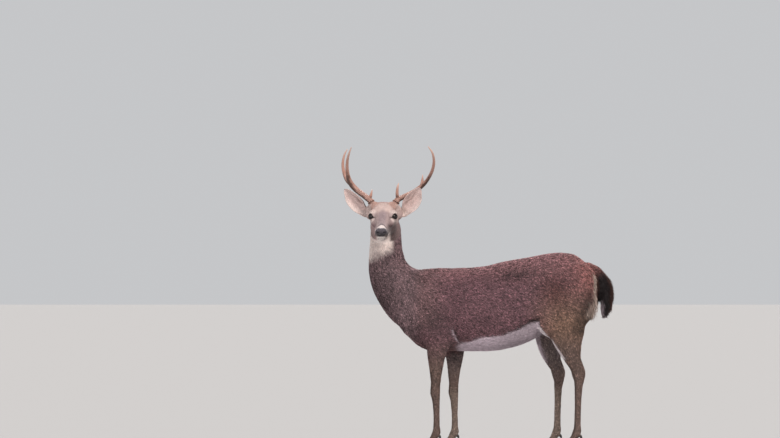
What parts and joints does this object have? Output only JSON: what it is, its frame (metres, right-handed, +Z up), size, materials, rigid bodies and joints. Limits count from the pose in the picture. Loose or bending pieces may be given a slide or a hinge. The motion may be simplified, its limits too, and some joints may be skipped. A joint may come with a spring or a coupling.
{
  "type": "white-tailed deer model",
  "caption": "Still life-size white-tailed buck in summer coat, standing square to the side with its head turned to its left, small branched antlers, for wildlife scenes.",
  "frame": {"origin": "on the floor under the middle of the bounding box", "axes": "+Z up, the chest towards -X, the left side towards -Y; the head is turned to look along -Y"},
  "size_m": [1.3226, 0.4708, 1.49],
  "materials": {
    "coat": "short dense summer hair, reddish brown",
    "ear_coat": "thin pale hair",
    "tail_coat": "long hair, dark with a white fringe",
    "antler": "hard, finely grooved, satin",
    "hoof": "horn, satin",
    "eye": "wet, glossy",
    "nose": "moist, finely pebbled"
  },
  "bodies": {
    "root": {"head": "coat", "neck": "coat", "trunk": "coat", "tail": "tail_coat", "left_ear": "ear_coat", "right_ear": "ear_coat", "left_eye": "eye", "right_eye": "eye", "nose_pad": "nose", "left_antler_beam": "antler", "left_antler_brow_tine": "antler", "left_antler_upper_tine": "antler", "right_antler_beam": "antler", "right_antler_brow_tine": "antler", "right_antler_upper_tine": "antler", "left_foreleg_forearm": "coat", "left_foreleg_cannon": "coat", "left_foreleg_pastern": "coat", "left_hindleg_thigh": "coat", "left_hindleg_gaskin": "coat", "left_hindleg_cannon": "coat", "left_hindleg_pastern": "coat", "left_foreleg_outer_hoof": "hoof", "left_foreleg_outer_dewclaw": "hoof", "left_foreleg_inner_hoof": "hoof", "left_foreleg_inner_dewclaw": "hoof", "left_hindleg_outer_hoof": "hoof", "left_hindleg_outer_dewclaw": "hoof", "left_hindleg_inner_hoof": "hoof", "left_hindleg_inner_dewclaw": "hoof", "right_foreleg_forearm": "coat", "right_foreleg_cannon": "coat", "right_foreleg_pastern": "coat", "right_hindleg_thigh": "coat", "right_hindleg_gaskin": "coat", "right_hindleg_cannon": "coat", "right_hindleg_pastern": "coat", "right_foreleg_outer_hoof": "hoof", "right_foreleg_outer_dewclaw": "hoof", "right_foreleg_inner_hoof": "hoof", "right_foreleg_inner_dewclaw": "hoof", "right_hindleg_outer_hoof": "hoof", "right_hindleg_outer_dewclaw": "hoof", "right_hindleg_inner_hoof": "hoof", "right_hindleg_inner_dewclaw": "hoof"}
  },
  "joints": []
}
